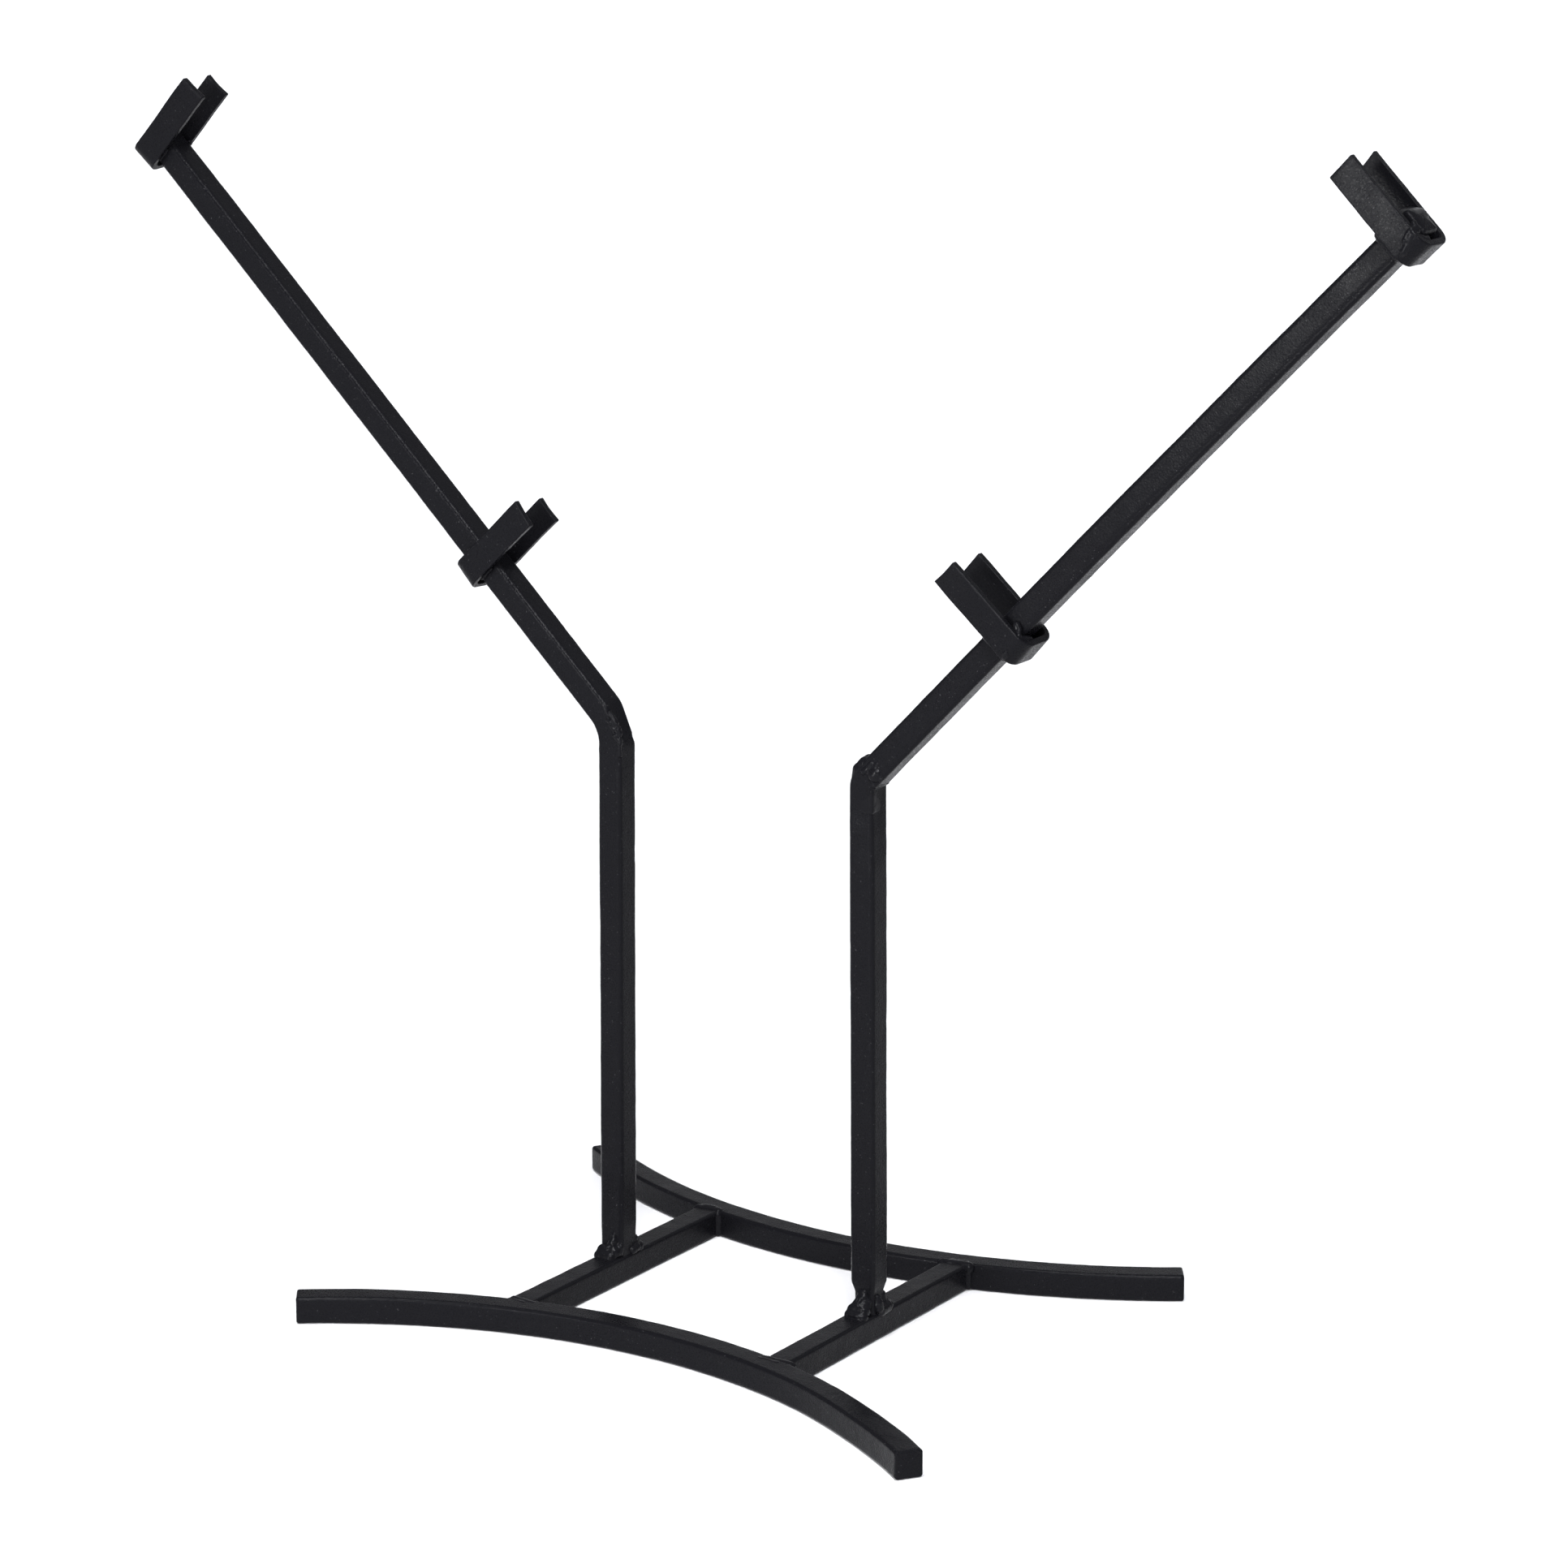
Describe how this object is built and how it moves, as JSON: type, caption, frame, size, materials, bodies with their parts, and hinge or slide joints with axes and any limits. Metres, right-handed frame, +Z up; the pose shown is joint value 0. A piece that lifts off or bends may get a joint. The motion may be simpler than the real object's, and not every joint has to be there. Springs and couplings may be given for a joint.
{
  "type": "mug tree",
  "caption": "Welded mug tree of square steel bar: bowed rails and crossbars carry posts with outward-leaning arms, each with U-shaped saddles for mug handles.",
  "frame": {"origin": "middle of the stand's footprint, on the table it stands on", "axes": "+X along the rails, towards the side whose arm leans to the right when seen from the front; +Y from the front rail to the rear rail; +Z up"},
  "size_m": [0.4704, 0.1798, 0.3814],
  "materials": {
    "bar_coat": "black powder coat with a fine grain, satin",
    "strap_coat": "black powder coat with a fine grain, satin",
    "weld_coat": "black powder coat over lumpy weld metal, glossier than the bars"
  },
  "bodies": {
    "root": {"front_rail": "bar_coat", "rear_rail": "bar_coat", "left_crossbar": "bar_coat", "left_post": "bar_coat", "left_arm": "bar_coat", "left_lower_saddle": "strap_coat", "left_upper_saddle": "strap_coat", "right_crossbar": "bar_coat", "right_post": "bar_coat", "right_arm": "bar_coat", "right_lower_saddle": "strap_coat", "right_upper_saddle": "strap_coat", "left_elbow_weld": "weld_coat", "left_front_rail_weld": "weld_coat", "left_front_foot_bead": "weld_coat", "left_lower_front_tack": "weld_coat", "left_upper_front_tack": "weld_coat", "left_rear_rail_weld": "weld_coat", "left_rear_foot_bead": "weld_coat", "left_lower_rear_tack": "weld_coat", "left_upper_rear_tack": "weld_coat", "right_elbow_weld": "weld_coat", "right_front_rail_weld": "weld_coat", "right_front_foot_bead": "weld_coat", "right_lower_front_tack": "weld_coat", "right_upper_front_tack": "weld_coat", "right_rear_rail_weld": "weld_coat", "right_rear_foot_bead": "weld_coat", "right_lower_rear_tack": "weld_coat", "right_upper_rear_tack": "weld_coat"}
  },
  "joints": []
}
